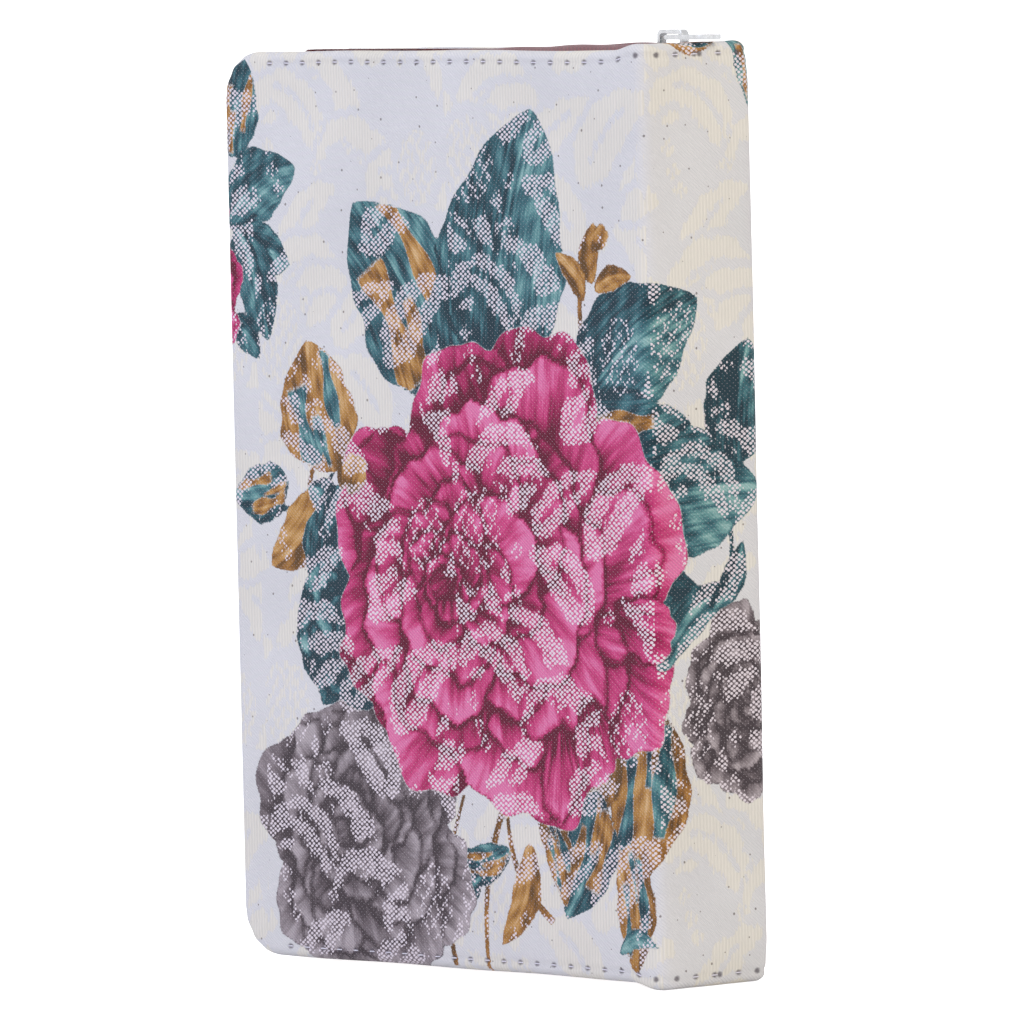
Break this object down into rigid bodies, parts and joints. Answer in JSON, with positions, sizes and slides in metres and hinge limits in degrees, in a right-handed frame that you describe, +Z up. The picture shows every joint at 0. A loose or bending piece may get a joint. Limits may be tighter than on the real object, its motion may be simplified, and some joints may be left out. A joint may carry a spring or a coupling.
{
  "type": "prayer book",
  "caption": "Small hardback prayer book in a quilted floral cotton zip case that opens flat, with a burgundy zip along three sides.",
  "frame": {"origin": "middle of the bounding box at its foot: the book stands upright on z = 0", "axes": "+Z up along the height, -Y out of the front panel, +X out of the spine"},
  "size_m": [0.128, 0.028, 0.1846],
  "materials": {
    "printed_cotton": "natural cotton jacquard with a printed rose and leaf design",
    "wadding": "thin white polyester wadding",
    "stiffener": "grey board",
    "lining": "plain burgundy lining cloth",
    "book_cloth": "burgundy grained book covering",
    "endpaper": "uncoated cream endpaper",
    "leaves": "thin cream book paper",
    "zip_tape": "woven burgundy polyester tape",
    "zip_teeth": "moulded burgundy acetal",
    "zip_metal": "nickel-plated zinc casting",
    "mull": "open starched gauze",
    "headband": "woven silk bead",
    "ribbon": "satin ribbon"
  },
  "bodies": {
    "back_cover": {"back_cover_fabric": "printed_cotton", "back_wadding": "wadding", "back_stiffener": "stiffener", "back_lining": "lining", "back_pocket": "lining", "back_book_board": "book_cloth", "back_endpaper": "endpaper", "back_leaves": "leaves", "ribbon_marker": "ribbon", "back_zip_tape": "zip_tape", "back_zip_teeth": "zip_teeth", "back_zip_top_stop": "zip_metal", "zip_end_stop": "zip_metal"},
    "spine": {"spine_cover_fabric": "printed_cotton", "spine_wadding": "wadding", "spine_stiffener": "stiffener", "spine_lining": "lining", "book_spine": "book_cloth", "sewn_back": "leaves", "mull": "mull", "headbands": "headband"},
    "front_cover": {"front_cover_fabric": "printed_cotton", "front_wadding": "wadding", "front_stiffener": "stiffener", "front_lining": "lining", "front_pocket": "lining", "front_book_board": "book_cloth", "front_endpaper": "endpaper", "front_leaves": "leaves", "front_zip_tape": "zip_tape", "front_zip_teeth": "zip_teeth", "front_zip_top_stop": "zip_metal"},
    "zip_slider": {"zip_slider": "zip_metal"},
    "zip_pull": {"zip_pull": "zip_metal"}
  },
  "joints": [
    {"name": "spine_hinge", "type": "hinge", "parent": "back_cover", "child": "spine", "pos_m": [0.06017, 0.01312, 0], "axis": [0, 0, 1], "range_deg": [0, 90]},
    {"name": "front_hinge", "type": "hinge", "parent": "spine", "child": "front_cover", "pos_m": [0.06017, -0.01312, 0], "axis": [0, 0, 1], "range_deg": [0, 90]},
    {"name": "zip_slide", "type": "slide", "parent": "back_cover", "child": "zip_slider", "axis": [-1, 0, 0], "range_m": [0, 0.1], "deforming": ["front_zip_teeth", "back_zip_teeth"]},
    {"name": "pull_hinge", "type": "hinge", "parent": "zip_slider", "child": "zip_pull", "pos_m": [0.05175, 0.0025, 0.18315], "axis": [0, -1, 0], "range_deg": [0, 180]}
  ],
  "couplings": [
    {"joint": "front_hinge", "follows": "spine_hinge", "ratio": 1}
  ]
}
